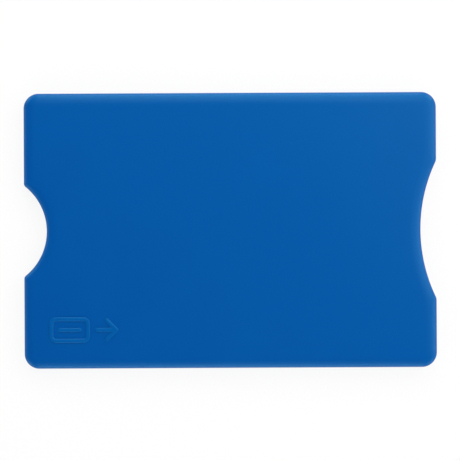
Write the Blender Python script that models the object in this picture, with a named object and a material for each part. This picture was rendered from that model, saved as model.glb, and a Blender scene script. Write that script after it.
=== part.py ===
# Rigid sleeve for one payment card: two welded mouldings with a shielding label glued inside each.
# It lies on its back with the front face up. +X points out of the card mouth, +Y is the upper side
# of the front face, and the origin is under the middle of the back face.
import math

import bmesh
import bpy

mm = 0.001

# The card that the slot is made for
card_length = 85.6 * mm
card_width = 53.98 * mm
card_thickness = 0.76 * mm

# Slot and walls
side_clearance = 0.31 * mm  # on each long side of the card
slot_play = 0.64 * mm  # height left over a plain card, which lets embossed figures pass
mouth_margin = 3.0 * mm  # the card ends this far inside the mouth
rail_width = 3.05 * mm
stop_wall = 2.4 * mm
front_wall = 1.2 * mm
rear_wall = 1.2 * mm
slot_corner_radius = 0.5 * mm
mouth_flare = 0.4 * mm  # how far each rail falls back at the mouth
mouth_flare_length = 1.6 * mm

# Outline
corner_radius = 3.3 * mm
thumb_notch_radius = 12.6 * mm
thumb_notch_depth = 5.0 * mm
thumb_lip_radius = 1.0 * mm
grab_notch_radius = 34.8 * mm
grab_notch_depth = 3.5 * mm
grab_lip_radius = 1.8 * mm

# Edges
roll_width = 2.4 * mm  # how far the rolled edge reaches in from the outline
roll_drop = 0.9 * mm  # how far it falls from the face
seam_chamfer = 0.14 * mm
weld_gap = 0.05 * mm
rail_root_gap = 0.02 * mm  # where a rail meets the face moulding
lead_in = 0.15 * mm  # bevel under the face moulding's mouth edge

# Tongues under the rails and stops, and their grooves in the cover
tongue_width = 0.6 * mm
tongue_height = 0.35 * mm
tongue_clearance = 0.1 * mm
tongue_end_margin = 4.0 * mm

# Round bumps on the rails that nip the card by its long edges
bump_radius = 1.6 * mm
bump_squeeze = 0.02 * mm  # how far each bump presses on the card
bump_root = 0.6 * mm  # how deep a bump is rooted in its rail
bump_end_margin = 12.0 * mm
bumps_per_rail = 3

# Shielding label: adhesive, foil and film, in a shallow recess of each wall
adhesive_thickness = 0.05 * mm
foil_thickness = 0.05 * mm
film_thickness = 0.05 * mm
layer_gap = 0.01 * mm
label_clearance = 0.2 * mm
label_margin = 1.8 * mm  # plastic left between the label and each notch and the mouth
label_from_wall = 0.5 * mm  # plastic left between the label and the rails and stops
label_corner_radius = 2.0 * mm

# Raised pictogram at the lower left of the face: a card outline with its stripe, and an arrow
relief_height = 0.2 * mm
relief_edge = 0.12 * mm
relief_root = 0.3 * mm  # how deep the strokes are rooted in the wall
stroke = 0.95 * mm
icon_from_closed_end = 5.5 * mm
icon_from_lower_side = 5.7 * mm
icon_length = 9.0 * mm
icon_height = 5.7 * mm
icon_corner_radius = 1.0 * mm
icon_stripe_length = 5.2 * mm
arrow_from_icon = 1.1 * mm
arrow_length = 5.2 * mm
arrow_barb = 2.1 * mm

# Fineness of the round stretches
corner_steps = 9
lip_steps = 5
notch_steps = 24
roll_steps = 8
stroke_steps = 8
overrun = 2.0 * mm  # how far every cutter runs past what it cuts
least_radius_share = 0.04  # a corner that the rolled edge has used up keeps this share of its radius

# Sizes worked out from those above
slot_width = card_width + 2 * side_clearance
slot_height = card_thickness + slot_play
length = stop_wall + card_length + mouth_margin
width = slot_width + 2 * rail_width
thickness = rear_wall + slot_height + front_wall
closed_end = -length / 2
mouth_end = length / 2
stop_face = closed_end + stop_wall
slot_floor = rear_wall
slot_ceiling = rear_wall + slot_height
rail_foot = slot_floor + weld_gap
rail_top = slot_ceiling - rail_root_gap
bump_reach = side_clearance + bump_squeeze
tongue_y = slot_width / 2 + rail_width / 2
tongue_x = closed_end + stop_wall / 2
label_depth = adhesive_thickness + foil_thickness + film_thickness + 4 * layer_gap
thumb_notch_x = closed_end + thumb_notch_depth - thumb_notch_radius
grab_notch_x = mouth_end - grab_notch_depth + grab_notch_radius
lead_in_half_width = width / 2 - corner_radius - lead_in
label_start = stop_face + label_from_wall
label_end = mouth_end - label_margin
label_half_width = slot_width / 2 - label_from_wall
icon_x0 = closed_end + icon_from_closed_end
icon_x1 = icon_x0 + icon_length
icon_y0 = -width / 2 + icon_from_lower_side
icon_y1 = icon_y0 + icon_height
icon_middle_y = (icon_y0 + icon_y1) / 2
stripe_x0 = (icon_x0 + icon_x1 - icon_stripe_length + stroke) / 2
stripe_x1 = (icon_x0 + icon_x1 + icon_stripe_length - stroke) / 2
arrow_tail_x = icon_x1 + arrow_from_icon + stroke / 2
arrow_tip_x = icon_x1 + arrow_from_icon + arrow_length - stroke / 2


def arc(centre_x, centre_y, radius, start, end, steps):
    """Points on a circle about the centre, from the start angle to the end angle, both included."""
    turns = [start + (end - start) * i / steps for i in range(steps + 1)]
    return [(centre_x + radius * math.cos(t), centre_y + radius * math.sin(t)) for t in turns]


def notched_end(end_x, notch_x, notch_radius, lip_radius):
    """A straight end at end_x with a round notch, from its lower to its upper lip, material at lower x.

    Each lip is a circle that touches the straight end and the notch circle.
    """
    lip_x = end_x - lip_radius
    swing = math.acos(min((notch_x - lip_x) / (notch_radius + lip_radius), 1))
    lip_y = (notch_radius + lip_radius) * math.sin(swing)
    lower = arc(lip_x, -lip_y, lip_radius, 0, swing, lip_steps)
    middle = arc(notch_x, 0, notch_radius, math.pi + swing, math.pi - swing, notch_steps)
    upper = [(x, -y) for x, y in reversed(lower)]
    return lower + middle[1:-1] + upper


def turned_about(outline):
    """An outline turned by half a turn about the origin."""
    return [(-x, -y) for x, y in outline]


def less(radius, inset):
    """A convex radius moved in by inset, of which a small share is always left."""
    return max(radius - inset, radius * least_radius_share)


def mouth_edge(inset):
    """The mouth end moved in by inset: the lips keep their centres, and the notch grows."""
    lip = less(grab_lip_radius, inset)
    return notched_end(mouth_end - inset, grab_notch_x, grab_notch_radius + inset, lip)


def closed_edge(inset):
    lip = less(thumb_lip_radius, inset)
    edge = notched_end(-closed_end - inset, -thumb_notch_x, thumb_notch_radius + inset, lip)
    return turned_about(edge)


def corner(corner_x, corner_y, radius, steps):
    """A rounded corner of a shape round the origin, anticlockwise."""
    end_sign = math.copysign(1, corner_x)
    side_sign = math.copysign(1, corner_y)
    facing = math.atan2(side_sign, end_sign)
    centre_x = corner_x - end_sign * radius
    centre_y = corner_y - side_sign * radius
    return arc(centre_x, centre_y, radius, facing - math.pi / 4, facing + math.pi / 4, steps)


def holder_outline(inset, mouth_bevel=0):
    """The holder's outline, anticlockwise from the mouth's lower side, moved in by inset.

    The mouth end alone goes in by mouth_bevel more, between the corners.
    """
    x = length / 2 - inset
    y = width / 2 - inset
    radius = less(corner_radius, inset)
    mouth_x = x - mouth_bevel
    return (
        [(mouth_x, -lead_in_half_width)]
        + mouth_edge(inset + mouth_bevel)
        + [(mouth_x, lead_in_half_width)]
        + corner(x, y, radius, corner_steps)
        + corner(-x, y, radius, corner_steps)
        + closed_edge(inset)
        + corner(-x, -y, radius, corner_steps)
        + corner(x, -y, radius, corner_steps)
    )


def rounded_rectangle(x0, x1, y0, y1, radius, steps):
    """A rectangle with four round corners, anticlockwise."""
    quarter = math.pi / 2
    return (
        arc(x1 - radius, y1 - radius, radius, 0, quarter, steps)
        + arc(x0 + radius, y1 - radius, radius, quarter, 2 * quarter, steps)
        + arc(x0 + radius, y0 + radius, radius, 2 * quarter, 3 * quarter, steps)
        + arc(x1 - radius, y0 + radius, radius, 3 * quarter, 4 * quarter, steps)
    )


def stadium(start, end, half_width, steps):
    """The outline of a stroke with round ends, anticlockwise."""
    angle = math.atan2(end[1] - start[1], end[0] - start[0])
    quarter = math.pi / 2
    return arc(*end, half_width, angle - quarter, angle + quarter, steps) + arc(
        *start, half_width, angle + quarter, angle + 3 * quarter, steps
    )


def loft(rings):
    """A closed mesh through rings of (outline, height), all with as many points, from the lowest up."""
    bm = bmesh.new()
    rows = [[bm.verts.new((x, y, z)) for x, y in outline] for outline, z in rings]
    count = len(rows[0])
    for low, high in zip(rows, rows[1:]):
        for i in range(count):
            j = (i + 1) % count
            bm.faces.new((low[i], low[j], high[j], high[i]))
    bm.faces.new(reversed(rows[0]))
    bm.faces.new(rows[-1])
    return bm


def ring_loft(section_rings):
    """A closed ring: each entry is (outline, height), taken in order round the ring's cross-section."""
    bm = bmesh.new()
    rows = [[bm.verts.new((x, y, z)) for x, y in outline] for outline, z in section_rings]
    count = len(rows[0])
    for row, following in zip(rows, rows[1:] + rows[:1]):
        for i in range(count):
            j = (i + 1) % count
            bm.faces.new((row[i], row[j], following[j], following[i]))
    return bm


def add_object(name, bm, material=None):
    mesh = bpy.data.meshes.new(name)
    bmesh.ops.recalc_face_normals(bm, faces=bm.faces)
    bm.to_mesh(mesh)
    bm.free()
    mesh.shade_smooth()
    mesh.set_sharp_from_angle(angle=math.radians(30))
    item = bpy.data.objects.new(name, mesh)
    bpy.context.collection.objects.link(item)
    if material:
        mesh.materials.append(material)
    return item


def add_tool(name, bm):
    """A cutter or an addition for a Boolean, which isn't a piece of its own."""
    item = add_object(name, bm)
    item.hide_render = True
    item.display_type = "WIRE"
    return item


def combine(item, operation, tools):
    for tool in tools:
        step = item.modifiers.new(tool.name, "BOOLEAN")
        step.operation = operation
        step.solver = "EXACT"
        step.object = tool


def plain_material(name, color, roughness, metallic=0.0, alpha=1.0):
    material = bpy.data.materials.new(name)
    material.use_nodes = True
    shader = material.node_tree.nodes["Principled BSDF"]
    shader.inputs["Base Color"].default_value = (*color, 1)
    shader.inputs["Roughness"].default_value = roughness
    shader.inputs["Metallic"].default_value = metallic
    shader.inputs["Alpha"].default_value = alpha
    return material


def rolled_rings(start_height, end_height):
    """Rings of the rolled edge, a quarter of an ellipse from the outline to the face."""
    rings = []
    for i in range(roll_steps + 1):
        turn = math.pi / 2 * i / roll_steps
        inset = roll_width * (1 - math.cos(turn))
        height = start_height + (end_height - start_height) * math.sin(turn)
        rings.append((holder_outline(inset), height))
    return rings


def prism(outline, low, high):
    return loft([(outline, low), (outline, high)])


def slot_outline():
    """The slot seen from above: square to the stops, and flared between the rails at the mouth."""
    half = slot_width / 2
    flare_start = mouth_end - mouth_flare_length
    far_x = mouth_end + overrun
    far_y = half + mouth_flare * (far_x - flare_start) / mouth_flare_length
    return (
        [(far_x, -far_y), (far_x, far_y), (flare_start, half)]
        + corner(stop_face, half, slot_corner_radius, stroke_steps)
        + corner(stop_face, -half, slot_corner_radius, stroke_steps)
        + [(flare_start, -half)]
    )


def strip(start, end, strip_width, low, high):
    """A straight strip with round ends."""
    return prism(stadium(start, end, strip_width / 2, stroke_steps), low, high)


def bump(name, x, side_sign):
    """A round bump on a rail's inner face, as high as the rail: a slice off a circle, and its root."""
    half_angle = math.acos(1 - bump_reach / bump_radius)
    half_chord = bump_radius * math.sin(half_angle)
    face_y = slot_width / 2
    centre_y = face_y + bump_radius - bump_reach
    crown = arc(0, 0, bump_radius, -half_angle, half_angle, lip_steps)
    outline = [(x + across, centre_y - out) for out, across in crown]
    outline += [(x + half_chord, face_y + bump_root), (x - half_chord, face_y + bump_root)]
    outline = [(px, side_sign * py) for px, py in outline]
    return add_tool(name, prism(outline, rail_foot + seam_chamfer, rail_top - seam_chamfer))


def tongue_lines(side_sign):
    """The middle lines of a rail's two tongues: one along the rail and one along its stop."""
    rail_start = stop_face + tongue_end_margin
    rail_end = mouth_end - tongue_end_margin
    notch_reach = math.sqrt(thumb_notch_radius**2 - (thumb_notch_radius - thumb_notch_depth) ** 2)
    stop_start = notch_reach + thumb_lip_radius + tongue_width
    stop_end = slot_width / 2 - tongue_width
    return {
        "rail": ((rail_start, side_sign * tongue_y), (rail_end, side_sign * tongue_y)),
        "stop": ((tongue_x, side_sign * stop_start), (tongue_x, side_sign * stop_end)),
    }


def label_outline(grow):
    """The label's outline: the slot's floor less a margin, cut back round both notches."""
    start = label_start - grow
    end = label_end + grow
    y = label_half_width + grow
    radius = label_corner_radius + grow
    mouth_radius = grab_notch_radius + label_margin - grow
    mouth = notched_end(end, grab_notch_x, mouth_radius, grab_lip_radius)
    closed_radius = thumb_notch_radius + label_margin - grow
    closed = notched_end(-start, -thumb_notch_x, closed_radius, thumb_lip_radius)
    return (
        mouth
        + corner(end, y, radius, stroke_steps)
        + corner(start, y, radius, stroke_steps)
        + turned_about(closed)
        + corner(start, -y, radius, stroke_steps)
        + corner(end, -y, radius, stroke_steps)
    )


def relief_mark(name, outline_at):
    """A raised mark with a bevelled top edge. outline_at gives its outline for half a stroke's width."""
    wide = outline_at(stroke / 2)
    narrow = outline_at(stroke / 2 - relief_edge)
    top = thickness + relief_height
    return add_tool(
        name, loft([(wide, thickness - relief_root), (wide, top - relief_edge), (narrow, top)])
    )


def stripe_outline(half_width):
    """The stripe in the middle of the card outline."""
    return stadium((stripe_x0, icon_middle_y), (stripe_x1, icon_middle_y), half_width, stroke_steps)


def arrow_outline(half_width):
    """An arrow along +X in one stroke width, with round ends and barbs at 45 degrees, anticlockwise."""
    right_angle = math.pi / 2
    barb_turn = math.pi / 4
    barb_x = arrow_tip_x - arrow_barb
    low_y = icon_middle_y - arrow_barb
    high_y = icon_middle_y + arrow_barb
    crotch_x = arrow_tip_x - half_width / math.tan(barb_turn / 2)
    return (
        arc(arrow_tail_x, icon_middle_y, half_width, right_angle, 3 * right_angle, stroke_steps)
        + [(crotch_x, icon_middle_y - half_width)]
        + arc(barb_x, low_y, half_width, 3 * barb_turn, 7 * barb_turn, stroke_steps)
        + arc(arrow_tip_x, icon_middle_y, half_width, -barb_turn, barb_turn, stroke_steps)
        + arc(barb_x, high_y, half_width, barb_turn, 5 * barb_turn, stroke_steps)
        + [(crotch_x, icon_middle_y + half_width)]
    )


def relief_frame(name):
    """The raised outline of a card, with both top edges bevelled."""

    def at(inset):
        x0 = icon_x0 + inset
        x1 = icon_x1 - inset
        y0 = icon_y0 + inset
        y1 = icon_y1 - inset
        return rounded_rectangle(x0, x1, y0, y1, icon_corner_radius + stroke / 2 - inset, stroke_steps)

    root = thickness - relief_root
    top = thickness + relief_height
    shoulder = top - relief_edge
    rings = [
        (at(0), root),
        (at(0), shoulder),
        (at(relief_edge), top),
        (at(stroke - relief_edge), top),
        (at(stroke), shoulder),
        (at(stroke), root),
    ]
    return add_tool(name, ring_loft(rings))


for old in list(bpy.data.objects):
    bpy.data.objects.remove(old, do_unlink=True)

blue_plastic = plain_material("blue_plastic", (0.0, 0.098, 0.381), 0.5)
clear_adhesive = plain_material("clear_adhesive", (0.82, 0.8, 0.7), 0.6)
bare_aluminium = plain_material("bare_aluminium", (0.83, 0.84, 0.85), 0.3, metallic=1.0)
clear_film = plain_material("clear_film", (0.95, 0.96, 0.97), 0.12, alpha=0.3)

sides = (("upper", 1), ("lower", -1))

# Front shell: the face with its rolled edge, a recess for the label and the raised pictogram
front_shell = add_object(
    "front_shell",
    loft(
        [
            (holder_outline(0, mouth_bevel=lead_in), slot_ceiling),
            (holder_outline(0), slot_ceiling + lead_in),
        ]
        + rolled_rings(thickness - roll_drop, thickness)
    ),
    blue_plastic,
)
front_recess = add_tool(
    "front_recess",
    prism(label_outline(label_clearance), slot_ceiling - overrun, slot_ceiling + label_depth),
)
combine(front_shell, "DIFFERENCE", [front_recess])

relief = [
    relief_frame("icon_frame"),
    relief_mark("icon_stripe", stripe_outline),
    relief_mark("arrow", arrow_outline),
]
combine(front_shell, "UNION", relief)

# Rails: each runs along one side of the slot and turns in at the closed end as its stop
slot_cutter = add_tool("slot_cutter", prism(slot_outline(), rail_foot - overrun, rail_top + overrun))
bump_start = stop_face + bump_end_margin
bump_step = (mouth_end - bump_end_margin - bump_start) / (bumps_per_rail - 1)
for side, sign in sides:
    rail = add_object(
        f"{side}_rail",
        loft(
            [
                (holder_outline(seam_chamfer), rail_foot),
                (holder_outline(0), rail_foot + seam_chamfer),
                (holder_outline(0), rail_top),
            ]
        ),
        blue_plastic,
    )
    far_x = length / 2 + overrun
    far_y = -sign * (width / 2 + overrun)
    other_half = [(-far_x, min(far_y, 0)), (far_x, min(far_y, 0))]
    other_half += [(far_x, max(far_y, 0)), (-far_x, max(far_y, 0))]
    half_cutter = add_tool(
        f"{side}_half_cutter", prism(other_half, rail_foot - overrun, rail_top + overrun)
    )
    combine(rail, "DIFFERENCE", [slot_cutter, half_cutter])
    additions = []
    for i in range(bumps_per_rail):
        additions.append(bump(f"{side}_bump_{i + 1}", bump_start + i * bump_step, sign))
    for place, (start, end) in tongue_lines(sign).items():
        tongue = strip(start, end, tongue_width, rail_foot - tongue_height, rail_foot + tongue_height)
        additions.append(add_tool(f"{side}_{place}_tongue", tongue))
    combine(rail, "UNION", additions)

# Rear cover: a flat plate of the same outline, grooved for the tongues
rear_cover = add_object(
    "rear_cover",
    loft(
        list(reversed(rolled_rings(roll_drop, 0)))
        + [
            (holder_outline(0), rear_wall - seam_chamfer),
            (holder_outline(seam_chamfer), rear_wall),
        ]
    ),
    blue_plastic,
)
rear_cutters = [
    add_tool(
        "rear_recess",
        prism(label_outline(label_clearance), slot_floor - label_depth, slot_floor + overrun),
    )
]
groove_width = tongue_width + 2 * tongue_clearance
groove_floor = rail_foot - tongue_height - tongue_clearance
for side, sign in sides:
    for place, (start, end) in tongue_lines(sign).items():
        groove = strip(start, end, groove_width, groove_floor, rear_wall + overrun)
        rear_cutters.append(add_tool(f"{side}_{place}_groove", groove))
combine(rear_cover, "DIFFERENCE", rear_cutters)

# Shielding labels, from the wall of the recess towards the slot
for half, recess_floor, towards_slot in (
    ("front", slot_ceiling + label_depth, -1),
    ("rear", slot_floor - label_depth, 1),
):
    depth = 0
    for layer, layer_thickness, material in (
        ("foil_adhesive", adhesive_thickness, clear_adhesive),
        ("shield_foil", foil_thickness, bare_aluminium),
        ("slip_film", film_thickness, clear_film),
    ):
        depth += layer_gap
        heights = [
            recess_floor + towards_slot * depth,
            recess_floor + towards_slot * (depth + layer_thickness),
        ]
        add_object(f"{half}_{layer}", prism(label_outline(0), min(heights), max(heights)), material)
        depth += layer_thickness
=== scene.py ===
import bmesh
import bpy
import numpy as np
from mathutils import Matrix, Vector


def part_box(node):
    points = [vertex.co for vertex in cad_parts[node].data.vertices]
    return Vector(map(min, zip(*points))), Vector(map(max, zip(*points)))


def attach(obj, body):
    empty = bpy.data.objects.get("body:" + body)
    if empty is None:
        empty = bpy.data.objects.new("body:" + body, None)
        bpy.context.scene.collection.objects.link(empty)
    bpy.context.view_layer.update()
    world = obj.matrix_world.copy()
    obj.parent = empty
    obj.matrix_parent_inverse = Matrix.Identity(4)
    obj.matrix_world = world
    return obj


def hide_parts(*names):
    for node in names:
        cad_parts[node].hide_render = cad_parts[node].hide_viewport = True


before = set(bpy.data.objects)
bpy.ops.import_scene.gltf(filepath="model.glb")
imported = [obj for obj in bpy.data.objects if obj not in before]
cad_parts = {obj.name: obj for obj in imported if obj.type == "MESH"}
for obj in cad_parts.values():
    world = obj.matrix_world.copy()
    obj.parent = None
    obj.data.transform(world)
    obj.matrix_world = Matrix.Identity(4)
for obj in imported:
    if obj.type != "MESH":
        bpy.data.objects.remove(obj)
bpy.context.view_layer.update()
mm = 0.001

# Back moulding: an injection-moulded plate in through-coloured blue plastic. Its edge rolls up from the
# back face, both ends have their notches, and its inner side is recessed for a label and grooved for
# the tongues of the rails.
back_low, back_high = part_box("rear_cover")
half_length = back_high.x
half_width = back_high.y
corner_radius = 3.3 * mm
thumb_notch_radius = 12.6 * mm
thumb_notch_depth = 5.0 * mm
thumb_lip_radius = 1.0 * mm
grab_notch_radius = 34.8 * mm
grab_notch_depth = 3.5 * mm
grab_lip_radius = 1.8 * mm
thumb_notch_x = half_length - thumb_notch_depth + thumb_notch_radius  # from the middle, towards -X
grab_notch_x = half_length - grab_notch_depth + grab_notch_radius
roll_width = 2.8 * mm
roll_drop = 1.0 * mm
roll_power = 2.5
rim_width = 0.85 * mm  # the outer part of the roll, drawn as rings that follow the outline
rim_steps = 14
lip_softness = 0.8 * mm
seam_chamfer = 0.14 * mm
sharp_angle = np.radians(32)
weld_distance = 0.0002 * mm  # points nearer than this become one


def end_of_plate(y, reach, side, corner, notch_x, notch_radius, lip):
    """Where a notched end that faces +X lies at each y, and the direction that it faces there.

    The notch is a circle about a point beyond the end. The lip is a circle that touches the notch and
    the straight end, so its centre is one lip radius behind the end, and lip and notch radius together
    from the notch's centre. The corner is a circle that touches the end and the long side.
    """
    away = np.abs(y)
    lip_x = reach - lip
    lip_y = np.sqrt((notch_radius + lip) ** 2 - (notch_x - lip_x) ** 2)
    notch_y = lip_y * notch_radius / (notch_radius + lip)
    corner_x = reach - corner
    corner_y = side - corner
    where = [away <= notch_y, away <= lip_y, away <= corner_y]

    def leg(radius, other):
        return np.sqrt(np.maximum(radius**2 - other**2, 0))

    x = np.select(
        where,
        [notch_x - leg(notch_radius, away), lip_x + leg(lip, lip_y - away), np.full_like(y, reach)],
        corner_x + leg(corner, away - corner_y),
    )
    facing_x = np.select(
        where,
        [(notch_x - x) / notch_radius, (x - lip_x) / lip, np.ones_like(y)],
        (x - corner_x) / corner,
    )
    facing_y = np.select(
        where,
        [-away / notch_radius, (away - lip_y) / lip, np.zeros_like(y)],
        (away - corner_y) / corner,
    )
    return np.stack([x, y], axis=1), np.stack([facing_x, facing_y * np.sign(y)], axis=1)


def long_side_of_plate(x, reach, side, corner):
    """Where the long side that faces +Y lies at each x: straight, and round near both ends."""
    over = np.maximum(np.abs(x) - (reach - corner), 0)
    height = np.sqrt(np.maximum(corner**2 - over**2, 0))
    points = np.stack([x, side - corner + height], axis=1)
    return points, np.stack([np.sign(x) * over / corner, height / corner], axis=1)


def stations(*stops):
    """Places from the first stop to the last. Each stop says where it is and the step from it onwards."""
    runs = []
    for (start, step), (end, _) in zip(stops, stops[1:]):
        count = max(int(np.ceil((end - start) / step)), 1)
        runs.append(np.linspace(start, end, count, endpoint=False))
    return np.concatenate(runs + [np.array([stops[-1][0]])])


def both_ways(*stops):
    """Stations from minus the last stop to the last stop, alike on both sides of the middle."""
    positive = stations(*stops)
    return np.concatenate([-positive[:0:-1], positive])


corner_diagonal = corner_radius * (1 - np.sqrt(0.5))
along = both_ways(
    (0, 1.5 * mm), (half_length - corner_radius, 0.2 * mm), (half_length - corner_diagonal, 0)
)
across = both_ways(
    (0, 0.7 * mm),
    (9.3 * mm, 0.14 * mm),
    (11.0 * mm, 0.7 * mm),
    (14.5 * mm, 0.2 * mm),
    (16.2 * mm, 0.9 * mm),
    (half_width - corner_radius - 0.8 * mm, 0.2 * mm),
    (half_width - corner_diagonal, 0),
)


def sleeve_outline(along, across):
    """The sleeve's outline and its outward directions, anticlockwise from the lower corner of the mouth.

    It goes up the mouth end, back along the upper side, down the closed end and out along the lower one.
    """
    mouth = end_of_plate(
        across, half_length, half_width, corner_radius, grab_notch_x, grab_notch_radius, grab_lip_radius
    )
    closed = end_of_plate(
        across, half_length, half_width, corner_radius, thumb_notch_x, thumb_notch_radius, thumb_lip_radius
    )
    side = long_side_of_plate(along, half_length, half_width, corner_radius)
    to_closed = np.array([-1, 1])
    to_lower = np.array([1, -1])
    return tuple(
        np.concatenate([m[:-1], s[:0:-1], (c * to_closed)[:0:-1], (s * to_lower)[:-1]])
        for m, s, c in zip(mouth, side, closed)
    )


def soft_least(a, b, softness):
    """The lesser of two distances, with the crease between them rounded by a parabola."""
    overlap = np.maximum(softness - np.abs(a - b), 0)
    return np.minimum(a, b) - overlap**2 / np.maximum(softness, 1e-9) / 4


def distance_inside(x, y):
    """How far a point of the plate lies from its outline: the least of its distances to the four sides.

    A notched end is the nearer of its straight line and its notch circle. The ridge that runs in from
    each lip is rounded more and more beyond the rim.
    """

    def to_end(reach_x, notch_x, notch_radius):
        straight = half_length - reach_x
        notch = np.hypot(reach_x - notch_x, y) - notch_radius
        depth = np.clip((np.minimum(straight, notch) - rim_width) / lip_softness, 0, 1)
        return soft_least(straight, notch, lip_softness * depth)

    nearest_end = np.minimum(
        to_end(x, grab_notch_x, grab_notch_radius), to_end(-x, thumb_notch_x, thumb_notch_radius)
    )
    end_gap = np.maximum(corner_radius - nearest_end, 0)
    side_gap = np.maximum(corner_radius - (half_width - np.abs(y)), 0)
    return corner_radius - np.hypot(end_gap, side_gap)


def roll_fall(inside):
    """How far the surface has fallen from the face at a distance inside the outline.

    The share goes from zero where the roll starts to one at the outline, and the fall is the drop times
    one less the root of one less the share to its power. A power of two is an ellipse, and a higher one
    starts more gently.
    """
    share = np.clip(1 - inside / roll_width, 0, 1)
    return roll_drop * (1 - np.sqrt(1 - share**roll_power))


def face_grid(edge, along, across):
    """A grid of points that fills a closed outline of four sides, as a Coons patch.

    It is the sum of the two surfaces ruled between opposite sides, less the flat one that has the same
    four corners. The steps along the sides are those of the stations.
    """
    nu, nv = len(along) - 1, len(across) - 1
    mouth = edge[: nv + 1]
    upper = edge[nv : nv + nu + 1][::-1]
    closed = edge[nv + nu : 2 * nv + nu + 1][::-1]
    lower = np.concatenate([edge[2 * nv + nu :], edge[:1]])
    u = ((along - along[0]) / (along[-1] - along[0]))[None, :, None]
    v = ((across - across[0]) / (across[-1] - across[0]))[:, None, None]
    ruled_up = (1 - v) * lower[None] + v * upper[None]
    ruled_along = (1 - u) * closed[:, None] + u * mouth[:, None]
    low_line = (1 - u) * lower[0] + u * lower[-1]
    high_line = (1 - u) * upper[0] + u * upper[-1]
    return ruled_up + ruled_along - ((1 - v) * low_line + v * high_line)


def with_height(points, z):
    """Plan points and their heights as points in space."""
    return np.concatenate([points, np.broadcast_to(z, points.shape[:-1])[..., None]], axis=-1)


def quads(rows, columns, closed):
    """The four-cornered faces of a grid of points, row by row.

    The last column of a closed grid meets its first.
    """
    i = np.arange(rows - 1)[:, None]
    j = np.arange(columns if closed else columns - 1)[None, :]
    k = (j + 1) % columns
    return np.stack(
        [i * columns + j, i * columns + k, (i + 1) * columns + k, (i + 1) * columns + j], axis=-1
    ).reshape(-1, 4)


def add_piece(name, material, grids, polygons=()):
    """A closed mesh from grids of points, each with a note whether it closes on itself, and flat ends."""
    points, faces, start = [], [], 0
    for grid, closed in grids:
        rows, columns = grid.shape[:2]
        points.append(grid.reshape(-1, 3))
        faces += (quads(rows, columns, closed) + start).tolist()
        start += rows * columns
    for ring in polygons:
        points.append(ring)
        faces.append(list(range(start, start + len(ring))))
        start += len(ring)
    mesh = bpy.data.meshes.new(name)
    mesh.from_pydata(np.concatenate(points), [], faces)
    bm = bmesh.new()
    bm.from_mesh(mesh)
    bmesh.ops.remove_doubles(bm, verts=bm.verts, dist=weld_distance)
    bmesh.ops.recalc_face_normals(bm, faces=bm.faces)
    bm.to_mesh(mesh)
    bm.free()
    mesh.shade_smooth()
    mesh.set_sharp_from_angle(angle=sharp_angle)
    piece = bpy.data.objects.new(name, mesh)
    bpy.context.collection.objects.link(piece)
    if material:
        mesh.materials.append(material)
    return piece


def moulded_plate(name, material, along, across, outer_z, inner_z, inner_bevel):
    """A plate between a rolled outer face and a flat inner side.

    Rings run round the outline: down the roll's outer part, along the wall and round the inner edge's
    bevel. Inside them the outer face is a grid, whose height is the face's less the roll's fall.
    """
    outline, facing = sleeve_outline(along, across)
    outward = np.sign(outer_z - inner_z)
    last_turn = np.arccos(1 - rim_width / roll_width)
    rim_insets = roll_width * (1 - np.cos(np.linspace(last_turn, 0, rim_steps + 1)))
    rings = [
        with_height(outline - facing * inset, outer_z - outward * roll_fall(inset))
        for inset in rim_insets
    ]
    rings.append(with_height(outline, inner_z + outward * inner_bevel))
    inner_ring = with_height(outline - facing * inner_bevel[:, None], inner_z)
    rings.append(inner_ring)
    grid = face_grid(rings[0][:, :2], along, across)
    height = outer_z - outward * roll_fall(distance_inside(grid[..., 0], grid[..., 1]))
    face = with_height(grid, height)
    edge = rings[0][:, 2]
    nu, nv = len(along) - 1, len(across) - 1
    face[:, -1, 2] = edge[: nv + 1]
    face[-1, :, 2] = edge[nv : nv + nu + 1][::-1]
    face[:, 0, 2] = edge[nv + nu : 2 * nv + nu + 1][::-1]
    face[0, :, 2] = np.append(edge[2 * nv + nu :], edge[0])
    return add_piece(name, material, [(np.stack(rings), True), (face, False)], [inner_ring])


def cut(piece, operation, tools):
    """Cuts tools out of a piece or adds them to it, and removes the tools."""
    for tool in tools:
        step = piece.modifiers.new(tool.name, "BOOLEAN")
        step.operation = operation
        step.solver = "EXACT"
        step.object = tool
    finished = bpy.data.meshes.new_from_object(piece.evaluated_get(bpy.context.evaluated_depsgraph_get()))
    piece.modifiers.clear()
    piece.data = finished
    finished.set_sharp_from_angle(angle=sharp_angle)
    for tool in tools:
        bpy.data.objects.remove(tool, do_unlink=True)


def prism(name, outline, low, high):
    """A block with upright sides."""
    floor = with_height(outline, low)
    top = with_height(outline, high)
    return add_piece(name, None, [(np.stack([floor, top]), True)], [floor, top])


label_margin = 1.8 * mm
label_corner_radius = 2.0 * mm
label_clearance = 0.2 * mm
label_gap = 0.01 * mm  # between a moulding and the label on it
overrun = 1.0 * mm  # how far a cutter stands out of what it cuts
label_low, label_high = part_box("rear_shield_foil")
recess_floor_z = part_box("rear_foil_adhesive")[0].z - label_gap


def label_outline(grow):
    """The shielding label's outline moved out by grow: a card shape, cut back round both notches."""
    reach_mouth = label_high.x + grow
    reach_closed = -label_low.x + grow
    side = label_high.y + grow
    corner = label_corner_radius + grow
    margin = label_margin - grow
    steps = both_ways(
        (0, 1.0 * mm), (9.0 * mm, 0.2 * mm), (17.0 * mm, 1.0 * mm), (side - corner, 0.1 * mm), (side, 0)
    )
    mouth, _ = end_of_plate(
        steps, reach_mouth, side, corner, grab_notch_x, grab_notch_radius + margin, grab_lip_radius
    )
    closed, _ = end_of_plate(
        steps, reach_closed, side, corner, thumb_notch_x, thumb_notch_radius + margin, thumb_lip_radius
    )
    return np.concatenate([mouth, (closed * np.array([-1, 1]))[::-1]])


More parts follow.
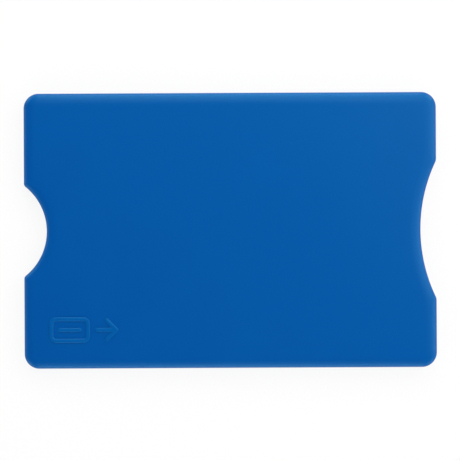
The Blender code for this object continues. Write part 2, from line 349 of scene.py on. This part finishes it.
rail_low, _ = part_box("upper_rail")
shell_low, shell_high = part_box("front_shell")
rail_width = 3.05 * mm
stop_wall = 2.4 * mm
slot_half_width = half_width - rail_width
stop_face = stop_wall - half_length
tongue_width = 0.6 * mm
tongue_clearance = 0.1 * mm
tongue_end_margin = 4.0 * mm
tongue_end_points = 9


def tongue_tool(name, start, end, half_width, low, high):
    """A straight strip with round ends."""
    start, end = np.array(start), np.array(end)
    angle = np.arctan2(*(end - start)[::-1])
    turn = np.linspace(-np.pi / 2, np.pi / 2, tongue_end_points)
    outline = np.concatenate(
        [
            end + half_width * np.stack([np.cos(angle + turn), np.sin(angle + turn)], axis=1),
            start - half_width * np.stack([np.cos(angle + turn), np.sin(angle + turn)], axis=1),
        ]
    )
    return prism(name, outline, low, high)


def tongue_lines(side_sign):
    """The middle lines of the tongues under a rail and under its stop."""
    rail_y = side_sign * (slot_half_width + half_width) / 2
    stop_x = (stop_face - half_length) / 2
    notch_reach = np.sqrt(thumb_notch_radius**2 - (thumb_notch_radius - thumb_notch_depth) ** 2)
    stop_start = notch_reach + thumb_lip_radius + tongue_width
    stop_end = slot_half_width - tongue_width
    return [
        ((stop_face + tongue_end_margin, rail_y), (half_length - tongue_end_margin, rail_y)),
        ((stop_x, side_sign * stop_start), (stop_x, side_sign * stop_end)),
    ]


relief_height = 0.2 * mm  # how far the pictogram stands above the front face
face_z = shell_high.z - relief_height
sheen_start = 0.03 * mm  # the heights above the face between which the plastic is painted paler, a painted sheen on the strokes
sheen_full = 0.12 * mm


def blue_plastic():
    """Satin through-coloured blue plastic, as it leaves a spark-eroded mould.

    Fine grain is a bump of noise cells a tenth of a millimetre wide, over a gentler one of half a
    millimetre. Broad noise shifts the colour and the gloss a little, as flow in the mould does. What
    stands above the face is painted paler, a painted sheen for the light its strokes catch, and handling
    has left a faint polish over the grain.
    """
    material = bpy.data.materials.new("blue_plastic")
    material.use_nodes = True
    nodes, links = material.node_tree.nodes, material.node_tree.links
    shader = nodes["Principled BSDF"]
    place = nodes.new("ShaderNodeTexCoord").outputs["Object"]

    def noise(scale, detail):
        texture = nodes.new("ShaderNodeTexNoise")
        texture.inputs["Scale"].default_value = scale
        texture.inputs["Detail"].default_value = detail
        links.new(place, texture.inputs["Vector"])
        return texture.outputs["Fac"]

    flow = noise(70, 3)
    tint = nodes.new("ShaderNodeMix")
    tint.data_type = "RGBA"
    tint.inputs["A"].default_value = (0.0, 0.065, 0.323, 1)
    tint.inputs["B"].default_value = (0.0, 0.071, 0.337, 1)
    links.new(flow, tint.inputs["Factor"])
    height = nodes.new("ShaderNodeSeparateXYZ")
    links.new(place, height.inputs["Vector"])
    raised = nodes.new("ShaderNodeMapRange")
    raised.inputs["From Min"].default_value = face_z + sheen_start
    raised.inputs["From Max"].default_value = face_z + sheen_full
    links.new(height.outputs["Z"], raised.inputs["Value"])
    # Painted sheen: what stands above the face gets a paler base colour, in place of the light its strokes
    # catch.
    painted_sheen = nodes.new("ShaderNodeMix")
    painted_sheen.data_type = "RGBA"
    painted_sheen.inputs["B"].default_value = (0.0, 0.081, 0.342, 1)
    links.new(raised.outputs["Result"], painted_sheen.inputs["Factor"])
    links.new(tint.outputs["Result"], painted_sheen.inputs["A"])
    links.new(painted_sheen.outputs["Result"], shader.inputs["Base Color"])
    gloss = nodes.new("ShaderNodeMapRange")
    gloss.inputs["To Min"].default_value = 0.40
    gloss.inputs["To Max"].default_value = 0.48
    links.new(noise(240, 4), gloss.inputs["Value"])
    links.new(gloss.outputs["Result"], shader.inputs["Roughness"])
    grain = nodes.new("ShaderNodeBump")
    grain.inputs["Strength"].default_value = 0.35
    grain.inputs["Distance"].default_value = 0.012 * mm
    links.new(noise(9000, 2), grain.inputs["Height"])
    orange_peel = nodes.new("ShaderNodeBump")
    orange_peel.inputs["Strength"].default_value = 0.4
    orange_peel.inputs["Distance"].default_value = 0.012 * mm
    links.new(noise(1800, 2), orange_peel.inputs["Height"])
    links.new(orange_peel.outputs["Normal"], grain.inputs["Normal"])
    links.new(grain.outputs["Normal"], shader.inputs["Normal"])
    shader.inputs["IOR"].default_value = 1.49
    shader.inputs["Specular Tint"].default_value = (0.0, 1.0, 1.0, 1)
    shader.inputs["Coat Weight"].default_value = 0.2
    shader.inputs["Coat Roughness"].default_value = 0.25
    return material


plastic = blue_plastic()
chamfer_all_round = np.full(2 * (len(along) + len(across)) - 4, seam_chamfer)
back = moulded_plate("back_moulding", plastic, along, across, back_low.z, back_high.z, chamfer_all_round)
tools = [prism("back_recess", label_outline(label_clearance), recess_floor_z, back_high.z + overrun)]
for side_sign in (1, -1):
    for line in tongue_lines(side_sign):
        groove = tongue_width / 2 + tongue_clearance
        tools.append(
            tongue_tool("groove", *line, groove, rail_low.z - tongue_clearance, back_high.z + overrun)
        )
cut(back, "DIFFERENCE", tools)
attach(back, "root")
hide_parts("rear_cover")

# Shielding labels, one in each moulding: a strip of pressure-sensitive adhesive, the aluminium foil that
# stops a reader's field, and a clear polyester film on which the card slides. They are die-cut flat, so
# the frame's own solids show them, in these materials.


def foil_aluminium():
    """Bright rolled foil. Noise drawn out along the rolling direction streaks its gloss and its surface."""
    material = bpy.data.materials.new("foil_aluminium")
    material.use_nodes = True
    nodes, links = material.node_tree.nodes, material.node_tree.links
    shader = nodes["Principled BSDF"]
    place = nodes.new("ShaderNodeMapping")
    place.inputs["Scale"].default_value = (250, 9000, 9000)
    links.new(nodes.new("ShaderNodeTexCoord").outputs["Object"], place.inputs["Vector"])
    streaks = nodes.new("ShaderNodeTexNoise")
    streaks.inputs["Scale"].default_value = 1
    streaks.inputs["Detail"].default_value = 4
    links.new(place.outputs["Vector"], streaks.inputs["Vector"])
    gloss = nodes.new("ShaderNodeMapRange")
    gloss.inputs["To Min"].default_value = 0.22
    gloss.inputs["To Max"].default_value = 0.36
    links.new(streaks.outputs["Fac"], gloss.inputs["Value"])
    links.new(gloss.outputs["Result"], shader.inputs["Roughness"])
    tint = nodes.new("ShaderNodeMix")
    tint.data_type = "RGBA"
    tint.inputs["A"].default_value = (0.80, 0.81, 0.83, 1)
    tint.inputs["B"].default_value = (0.87, 0.87, 0.88, 1)
    links.new(streaks.outputs["Fac"], tint.inputs["Factor"])
    links.new(tint.outputs["Result"], shader.inputs["Base Color"])
    grooves = nodes.new("ShaderNodeBump")
    grooves.inputs["Strength"].default_value = 0.3
    grooves.inputs["Distance"].default_value = 0.004 * mm
    links.new(streaks.outputs["Fac"], grooves.inputs["Height"])
    links.new(grooves.outputs["Normal"], shader.inputs["Normal"])
    shader.inputs["Metallic"].default_value = 1.0
    return material


def clear_layer(name, low_color, high_color, roughness, transmission, ior, wave_scale):
    """A clear layer whose slow waves, from broad noise, bend the light a little."""
    material = bpy.data.materials.new(name)
    material.use_nodes = True
    nodes, links = material.node_tree.nodes, material.node_tree.links
    shader = nodes["Principled BSDF"]
    waves = nodes.new("ShaderNodeTexNoise")
    waves.inputs["Scale"].default_value = wave_scale
    waves.inputs["Detail"].default_value = 2
    links.new(nodes.new("ShaderNodeTexCoord").outputs["Object"], waves.inputs["Vector"])
    tint = nodes.new("ShaderNodeMix")
    tint.data_type = "RGBA"
    tint.inputs["A"].default_value = (*low_color, 1)
    tint.inputs["B"].default_value = (*high_color, 1)
    links.new(waves.outputs["Fac"], tint.inputs["Factor"])
    links.new(tint.outputs["Result"], shader.inputs["Base Color"])
    bump = nodes.new("ShaderNodeBump")
    bump.inputs["Strength"].default_value = 0.2
    bump.inputs["Distance"].default_value = 0.02 * mm
    links.new(waves.outputs["Fac"], bump.inputs["Height"])
    links.new(bump.outputs["Normal"], shader.inputs["Normal"])
    shader.inputs["Roughness"].default_value = roughness
    shader.inputs["Transmission Weight"].default_value = transmission
    shader.inputs["IOR"].default_value = ior
    return material


foil = foil_aluminium()
film = clear_layer("polyester_film", (0.95, 0.96, 0.97), (0.98, 0.98, 0.98), 0.06, 1.0, 1.57, 180)
adhesive = clear_layer("acrylic_adhesive", (0.80, 0.77, 0.66), (0.86, 0.84, 0.75), 0.5, 0.5, 1.47, 900)
for half in ("front", "rear"):
    for layer, material in (("foil_adhesive", adhesive), ("shield_foil", foil), ("slip_film", film)):
        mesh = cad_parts[f"{half}_{layer}"].data
        mesh.materials.clear()
        mesh.materials.append(material)

# Rails: two strips that hold the mouldings apart, steer the card by its long edges and turn in at the
# closed end as its stops. They are moulded in one with the front face, so no joint shows between them.
seam_gap = 0.05 * mm  # left open for the weld between the rails and the back moulding
rail_foot = back_high.z + seam_gap
slot_ceiling = shell_low.z
mouth_flare = 0.4 * mm
mouth_flare_length = 1.6 * mm
slot_corner_radius = 0.5 * mm
rail_edge = 0.12 * mm
rail_tip = 0.15 * mm  # how blunt each rail's two ends are
bump_radius = 1.6 * mm
bump_reach = 0.33 * mm
bump_margin = 12 * mm  # from the stop's face and from the mouth
bump_places = np.array(
    [stop_face + bump_margin, (stop_face + half_length) / 2, half_length - bump_margin]
)
swell_rows = 9
swell_power = 4  # the higher it is, the fuller a bump stays towards the slot's floor and ceiling
tongue_root = 0.3 * mm  # how far a tongue's mesh reaches up into its rail


def rail_grid(side_sign):
    """A rail as a profile carried along the sleeve's outline, from the mouth to the thumb notch.

    Its outer line is the outline. Its inner line is the slot's side, which flares at the mouth and
    swells in a dome at each bump, and turns into the stop through a small round corner.
    """
    outline, facing = sleeve_outline(rail_along, across)
    corner_x = half_length - corner_radius
    x, y = outline.T
    flare = mouth_flare * np.clip((x - half_length) / mouth_flare_length + 1, 0, 1)
    side_line = np.stack([x, slot_half_width + flare], axis=1)
    corner_centre = np.array([stop_face, slot_half_width]) + np.array([1, -1]) * slot_corner_radius
    stop_line = np.stack([np.full_like(y, stop_face), np.minimum(y, corner_centre[1])], axis=1)
    round_part = corner_centre + facing * slot_corner_radius
    on_corner = ((x < -corner_x) & (y > half_width - corner_radius))[:, None]
    inner = np.where(x[:, None] >= -corner_x, side_line, np.where(on_corner, round_part, stop_line))
    across_rail = inner - outline
    rail_here = np.hypot(*across_rail.T) > rail_tip
    inside = np.where(x > 0, y > slot_half_width + flare, x < stop_face)
    keep = rail_here & inside & (y > 0)
    outline, inner, across_rail, x = outline[keep], inner[keep], across_rail[keep], x[keep]
    inward = across_rail / np.hypot(*across_rail.T)[:, None]
    loops = [
        with_height(outline, slot_ceiling),
        with_height(outline, rail_foot + seam_chamfer),
        with_height(outline + inward * np.minimum(seam_chamfer, rail_tip / 2), rail_foot),
        with_height(inner - inward * np.minimum(rail_edge, rail_tip / 2), rail_foot),
    ]
    from_bump = (x[:, None] - bump_places).T
    dome = np.sqrt(np.maximum(bump_radius**2 - from_bump**2, 0)) - (bump_radius - bump_reach)
    swell = np.maximum(dome, 0).sum(axis=0) * (inner[:, 1] == slot_half_width)
    for share in np.linspace(0, 1, swell_rows):
        reach = (swell * (1 - (2 * share - 1) ** swell_power))[:, None]
        height = rail_foot + rail_edge + (slot_ceiling - rail_foot - rail_edge) * share
        loops.append(with_height(inner + inward * reach, height))
    grid = np.stack(loops, axis=1)
    grid[..., 1] *= side_sign
    return grid


rail_along = both_ways(
    (0, 0.3 * mm), (half_length - corner_radius, 0.2 * mm), (half_length - corner_diagonal, 0)
)
for side, side_sign in (("upper", 1), ("lower", -1)):
    grid = rail_grid(side_sign)
    rail = add_piece(f"{side}_rail_moulding", plastic, [(grid, True)], [grid[0], grid[-1]])
    tongues = [
        tongue_tool("tongue", *line, tongue_width / 2, rail_low.z, rail_foot + tongue_root)
        for line in tongue_lines(side_sign)
    ]
    cut(rail, "UNION", tongues)
    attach(rail, "root")
    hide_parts(f"{side}_rail")

# Front moulding: the face that the photograph shows, in the same blue plastic, with a softly rolled edge.
# A small raised pictogram at its lower left, a card and an arrow, says which way the card comes out. The
# tongues under its rails are welded into the grooves of the back moulding.
relief_root = 0.1 * mm  # how deep a stroke's mesh starts below the face
relief_draft = 0.02 * mm
relief_dome_width = 0.38 * mm
relief_dome_rise = 0.08 * mm
relief_flat = 0.05 * mm
dome_steps = 6
arc_step = 7.5  # degrees
stroke = 0.95 * mm
icon_length = 9.0 * mm
icon_height = 5.7 * mm
icon_corner_radius = 1.0 * mm
icon_stripe_length = 5.2 * mm
icon_end_margin = 5.5 * mm
icon_side_margin = 5.7 * mm
icon_x = -half_length + icon_end_margin + icon_length / 2
icon_y = -half_width + icon_side_margin + icon_height / 2
arrow_gap = 1.1 * mm
arrow_length = 5.2 * mm
arrow_tail_x = icon_x + icon_length / 2 + arrow_gap + stroke / 2
arrow_tip_x = arrow_tail_x + arrow_length - stroke
arrow_barb = 2.1 * mm
lead_in = 0.15 * mm
thumb_edge = 0.1 * mm
bevel_fade = 0.5 * mm  # how far along the outline an eased inner edge takes to grow to its size
thumb_reach = 10 * mm  # how far from the middle the inner edge is eased for the thumb


def arc(x, y, radius, start, end):
    """Points on a circle about x, y from one angle to another, in degrees."""
    turn = np.radians(np.linspace(start, end, int(round((end - start) / arc_step)) + 1))
    return np.stack([x + radius * np.cos(turn), y + radius * np.sin(turn)], axis=1)


def card_outline(inset):
    """A rectangle with round corners, moved in by inset: four quarter circles joined by straight sides."""
    radius = icon_corner_radius + stroke / 2 - inset
    reach_x = icon_length / 2 - inset - radius
    reach_y = icon_height / 2 - inset - radius
    corners = ((1, -1, -90), (1, 1, 0), (-1, 1, 90), (-1, -1, 180))
    return np.concatenate(
        [
            arc(icon_x + right * reach_x, icon_y + up * reach_y, radius, turn, turn + 90)
            for right, up, turn in corners
        ]
    )


def stripe_outline(inset):
    """A straight stroke: two half circles joined by straight sides."""
    radius = stroke / 2 - inset
    reach = (icon_stripe_length - stroke) / 2
    return np.concatenate(
        [arc(icon_x + reach, icon_y, radius, -90, 90), arc(icon_x - reach, icon_y, radius, 90, 270)]
    )


def arrow_outline(inset):
    """Three strokes that meet at the tip, as one outline. The barbs lie at 45 degrees to the shaft."""
    radius = stroke / 2 - inset
    barb_x = arrow_tip_x - arrow_barb
    crotch_x = arrow_tip_x - radius / np.tan(np.radians(22.5))
    return np.concatenate(
        [
            arc(arrow_tail_x, icon_y, radius, 90, 270),
            [(crotch_x, icon_y - radius)],
            arc(barb_x, icon_y - arrow_barb, radius, 135, 315),
            arc(arrow_tip_x, icon_y, radius, -45, 45),
            arc(barb_x, icon_y + arrow_barb, radius, 45, 225),
            [(crotch_x, icon_y + radius)],
        ]
    )


def relief_rings(outline_at, first=0, inward=1):
    """The rings of a stroke's side: up its steep wall, then over a low dome to its flat top.

    How far the dome lies below the top is its rise times the square of the share of its width still to go.
    """
    share = np.linspace(0, 1, dome_steps + 1)
    over = relief_draft + relief_dome_width * share
    insets = np.concatenate([[0], over, [over[-1] + relief_flat]])
    rise = relief_height - relief_dome_rise * (1 - share) ** 2
    heights = np.concatenate([[-relief_root], rise, [relief_height]])
    return [
        with_height(outline_at(first + inward * inset), face_z + height)
        for inset, height in zip(insets, heights)
    ]


def raised_card():
    """The card's outline, a ring of one stroke's width with a wall outside and one inside."""
    outside = relief_rings(card_outline)
    inside = relief_rings(card_outline, stroke, -1)
    return add_piece("card_mark", None, [(np.stack(outside + inside[::-1] + outside[:1]), True)])


def raised_stroke(name, outline_at):
    """A mark with one outline and a flat top."""
    rings = np.stack(relief_rings(outline_at))
    return add_piece(name, None, [(rings, True)], [rings[0], rings[-1]])


(edge_x, edge_y), _ = (part.T for part in sleeve_outline(along, across))
mouth_share = np.clip((half_width - corner_radius - np.abs(edge_y)) / bevel_fade, 0, 1) * (edge_x > 0)
by_thumb = (edge_x < 0) & (np.abs(edge_y) < thumb_reach)
thumb_share = np.clip((edge_x - stop_face) / bevel_fade, 0, 1) * by_thumb
inner_bevel = lead_in * mouth_share + thumb_edge * thumb_share
front = moulded_plate("front_moulding", plastic, along, across, face_z, shell_low.z, inner_bevel)
marks = [
    raised_card(),
    raised_stroke("stripe_mark", stripe_outline),
    raised_stroke("arrow_mark", arrow_outline),
]
cut(front, "UNION", marks)
recess_ceiling_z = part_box("front_foil_adhesive")[1].z + label_gap
cut(
    front,
    "DIFFERENCE",
    [prism("front_recess", label_outline(label_clearance), shell_low.z - overrun, recess_ceiling_z)],
)
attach(front, "root")
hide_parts("front_shell")

# Studio: a plain white table and soft square lights all round the sleeve, the strongest off the corner
# between its mouth and its upper side. The camera looks straight down through a long lens.
even_white_near = 0.88
even_white_start = 0.10
even_white_end = 0.35
table_gap = 0.02 * mm
sky_for_gloss = 0.06  # what gloss reflects from the upper sky, while the sky near the table is white
sky_white_rise = 0.1  # the sines of the heights in the sky between which it darkens
sky_dark_rise = 0.5
sky_for_light = 0.2


def seen_rays(tree, path):
    """One for camera, glossy and transmission rays, and nothing for the rays that light the object."""
    seen = path.outputs["Is Camera Ray"]
    for kind in ("Is Glossy Ray", "Is Transmission Ray"):
        most = tree.nodes.new("ShaderNodeMath")
        most.operation = "MAXIMUM"
        tree.links.new(seen, most.inputs[0])
        tree.links.new(path.outputs[kind], most.inputs[1])
        seen = most.outputs["Value"]
    return seen


def map_range(tree, value, from_min, from_max, to_min, to_max):
    """A value carried from one range to another, and held at its ends."""
    node = tree.nodes.new("ShaderNodeMapRange")
    tree.links.new(value, node.inputs["Value"])
    node.inputs["From Min"].default_value = from_min
    node.inputs["From Max"].default_value = from_max
    node.inputs["To Min"].default_value = to_min
    node.inputs["To Max"].default_value = to_max
    return node.outputs["Result"]


def table_white():
    """White paint. What is seen of it is mostly an even white, wholly so away from the sleeve's shadow."""
    material = bpy.data.materials.new("table_white")
    material.use_nodes = True
    tree = material.node_tree
    paint = tree.nodes["Principled BSDF"]
    paint.inputs["Base Color"].default_value = (0.9, 0.9, 0.9, 1)
    paint.inputs["Roughness"].default_value = 0.9
    even = tree.nodes.new("ShaderNodeEmission")
    even.inputs["Color"].default_value = (1, 1, 1, 1)
    even.inputs["Strength"].default_value = 1.0
    distance = tree.nodes.new("ShaderNodeVectorMath")
    distance.operation = "LENGTH"
    tree.links.new(tree.nodes.new("ShaderNodeTexCoord").outputs["Object"], distance.inputs[0])
    share = tree.nodes.new("ShaderNodeMath")
    share.operation = "MULTIPLY"
    evenness = map_range(
        tree, distance.outputs["Value"], even_white_start, even_white_end, even_white_near, 1.0
    )
    tree.links.new(evenness, share.inputs[0])
    tree.links.new(seen_rays(tree, tree.nodes.new("ShaderNodeLightPath")), share.inputs[1])
    mix = tree.nodes.new("ShaderNodeMixShader")
    tree.links.new(share.outputs["Value"], mix.inputs["Fac"])
    tree.links.new(paint.outputs["BSDF"], mix.inputs[1])
    tree.links.new(even.outputs["Emission"], mix.inputs[2])
    tree.links.new(mix.outputs["Shader"], tree.nodes["Material Output"].inputs["Surface"])
    return material


table_half = 1.2
table_corners = np.array([[-1, -1, 0], [1, -1, 0], [1, 1, 0], [-1, 1, 0]]) * table_half
table_mesh = bpy.data.meshes.new("table")
table_mesh.from_pydata(table_corners, [], [(0, 1, 2, 3)])
table_mesh.materials.append(table_white())
table = bpy.data.objects.new("table", table_mesh)
table.location.z = back_low.z - table_gap
bpy.context.collection.objects.link(table)


def soft_light(name, azimuth, elevation, distance, size, power):
    """A square soft light that faces the sleeve, placed by two angles in degrees and its distance.

    Its azimuth is 0 off the mouth and 90 off the upper side. Its size is in metres, its power in watts.
    """
    lamp = bpy.data.lights.new(name, "AREA")
    lamp.shape = "SQUARE"
    lamp.size = size
    lamp.energy = power
    item = bpy.data.objects.new(name, lamp)
    bpy.context.collection.objects.link(item)
    turn, rise = np.radians(azimuth), np.radians(elevation)
    direction = [np.cos(rise) * np.cos(turn), np.cos(rise) * np.sin(turn), np.sin(rise)]
    item.location = distance * np.array(direction)
    item.rotation_euler = item.location.to_track_quat("Z", "Y").to_euler()


soft_light("upper_side_light", 90, 20, 0.6, 0.3, 0.74)
soft_light("upper_side_middle_light", 90, 36, 0.35, 0.2, 0.25)
soft_light("upper_side_high_light", 90, 60, 0.4, 0.2, 0.19)
soft_light("upper_mouth_corner_light", 45, 30, 0.6, 0.3, 1.03)
soft_light("upper_mouth_corner_high_light", 30, 60, 0.35, 0.2, 0.14)
soft_light("mouth_light", 0, 30, 0.6, 0.3, 0.68)
soft_light("mouth_high_light", 0, 50, 0.6, 0.3, 0.19)
soft_light("lower_mouth_corner_light", 315, 20, 0.6, 0.3, 0.72)
soft_light("lower_side_light", 270, 20, 0.6, 0.3, 0.77)
soft_light("lower_side_high_light", 270, 45, 0.6, 0.3, 0.33)
soft_light("lower_closed_corner_light", 225, 20, 0.6, 0.3, 0.62)
soft_light("closed_end_light", 180, 20, 0.6, 0.3, 0.26)
soft_light("upper_closed_corner_light", 135, 20, 0.6, 0.3, 0.79)

world = bpy.data.worlds.new("studio")
bpy.context.scene.world = world
world.use_nodes = True
tree = world.node_tree
path = tree.nodes.new("ShaderNodeLightPath")
height = tree.nodes.new("ShaderNodeSeparateXYZ")
tree.links.new(tree.nodes.new("ShaderNodeTexCoord").outputs["Generated"], height.inputs["Vector"])
sky = map_range(tree, height.outputs["Z"], sky_white_rise, sky_dark_rise, 1.0, sky_for_gloss)
seen = tree.nodes.new("ShaderNodeMix")
seen.inputs["A"].default_value = sky_for_light
tree.links.new(sky, seen.inputs["B"])
tree.links.new(seen_rays(tree, path), seen.inputs["Factor"])
behind = tree.nodes.new("ShaderNodeMix")
behind.inputs["B"].default_value = 1.0
tree.links.new(seen.outputs["Result"], behind.inputs["A"])
tree.links.new(path.outputs["Is Camera Ray"], behind.inputs["Factor"])
tree.links.new(behind.outputs["Result"], tree.nodes["Background"].inputs["Strength"])
tree.nodes["Background"].inputs["Color"].default_value = (1, 1, 1, 1)

picture_pixels = 460
pixels_per_mm = 4.53
sleeve_centre_pixel = np.array([230.23, 230.35])
sleeve_turn = np.radians(0.27)  # anticlockwise in the picture
focal_length = 150
sensor_width = 36
picture_width = picture_pixels / pixels_per_mm * mm
camera_data = bpy.data.cameras.new("camera")
camera_data.lens = focal_length
camera_data.sensor_width = sensor_width
camera_data.clip_start = 0.01
camera_data.clip_end = 10
camera = bpy.data.objects.new("camera", camera_data)
bpy.context.collection.objects.link(camera)
offset_x, offset_y = (sleeve_centre_pixel - picture_pixels / 2) / pixels_per_mm * mm
camera.location = (-offset_x, offset_y, face_z - roll_drop + picture_width * focal_length / sensor_width)
camera.rotation_euler.z = -sleeve_turn
bpy.context.scene.camera = camera
bpy.context.scene.view_settings.view_transform = "Standard"
